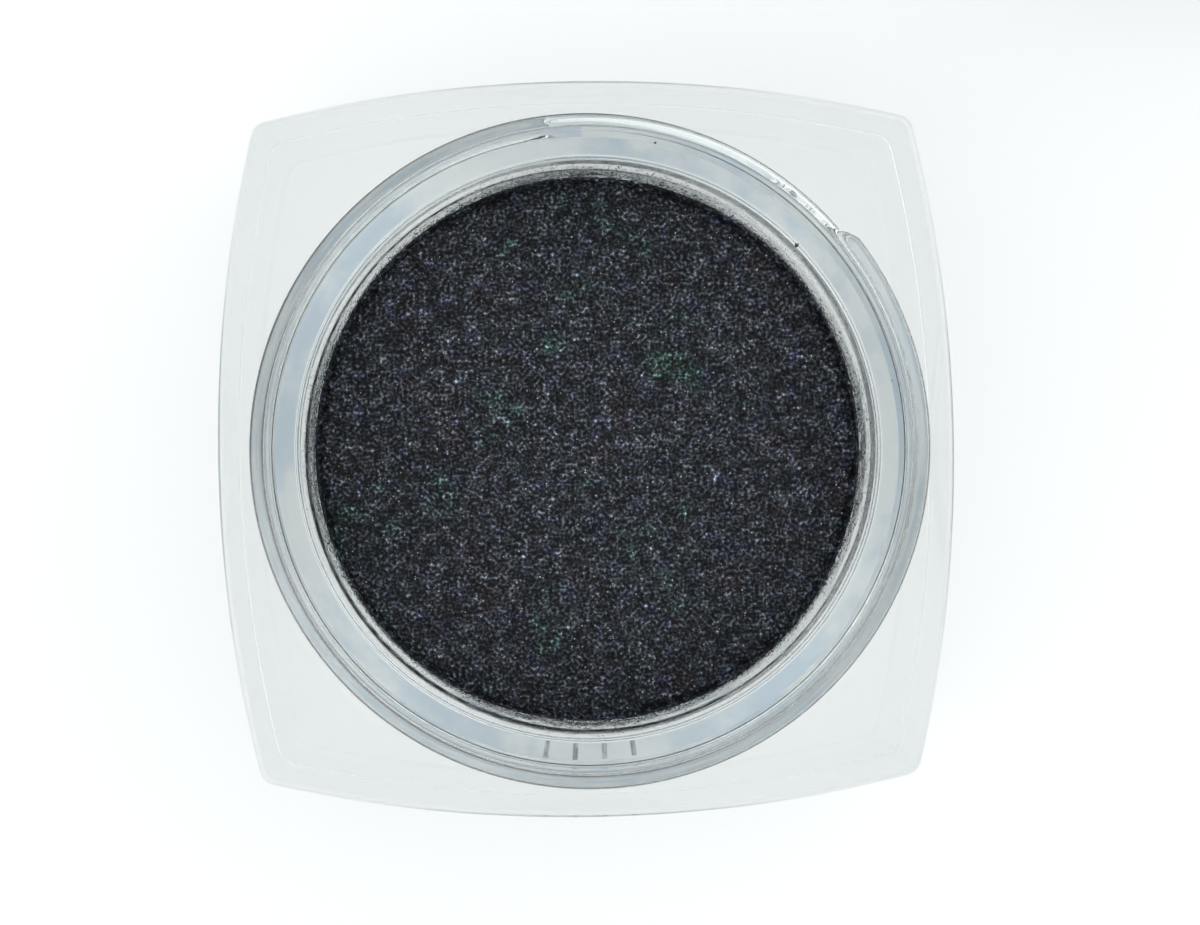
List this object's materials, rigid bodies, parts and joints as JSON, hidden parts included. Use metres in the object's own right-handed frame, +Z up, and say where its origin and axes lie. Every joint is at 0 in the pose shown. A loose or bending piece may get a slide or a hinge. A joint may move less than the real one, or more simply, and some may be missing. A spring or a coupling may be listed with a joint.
{
  "type": "single-shade eyeshadow pot",
  "caption": "Clear square jar with bulging sides and a round threaded neck, filled with pressed black shimmer powder; its gloss black screw cap lies beside it.",
  "frame": {"origin": "centre of the jar's underside, on the surface that the pot stands on", "axes": "+Z up out of the jar's neck; +X and +Y through the middles of two of the jar's bulging sides"},
  "size_m": [0.0766, 0.0831, 0.0207],
  "materials": {
    "clear_jar": "clear, polished",
    "pressed_powder": "pressed powder with fine shimmer",
    "label_paper": "plain film sticker",
    "clear_disc": "clear, moulded",
    "foam_wad": "fine foam",
    "insert_plastic": "moulded, satin",
    "gloss_black": "high gloss"
  },
  "bodies": {
    "pot": {"jar_body": "clear_jar", "powder_cake": "pressed_powder", "base_label": "label_paper"},
    "stopper": {"press_disc": "clear_disc"},
    "wad": {"cap_liner": "foam_wad"},
    "cap": {"cap_insert": "insert_plastic", "cap_shell": "gloss_black"}
  },
  "joints": [
    {"name": "lid_flip", "type": "hinge", "parent": "pot", "child": "stopper", "pos_m": [0.0195, 0.02275, 0.0166], "axis": [0.7593, -0.6508, 0], "range_deg": [0, 180]},
    {"name": "lid_feed", "type": "slide", "parent": "stopper", "child": "wad", "axis": [0, 0, 1], "range_m": [0, 0.00825]},
    {"name": "lid_turn", "type": "hinge", "parent": "wad", "child": "cap", "pos_m": [0.039, 0.0455, 0], "axis": [0, 0, 1], "range_deg": [0, 990]}
  ],
  "couplings": [
    {"joint": "lid_feed", "follows": "lid_turn", "m_per_rad": 0.00047746}
  ]
}
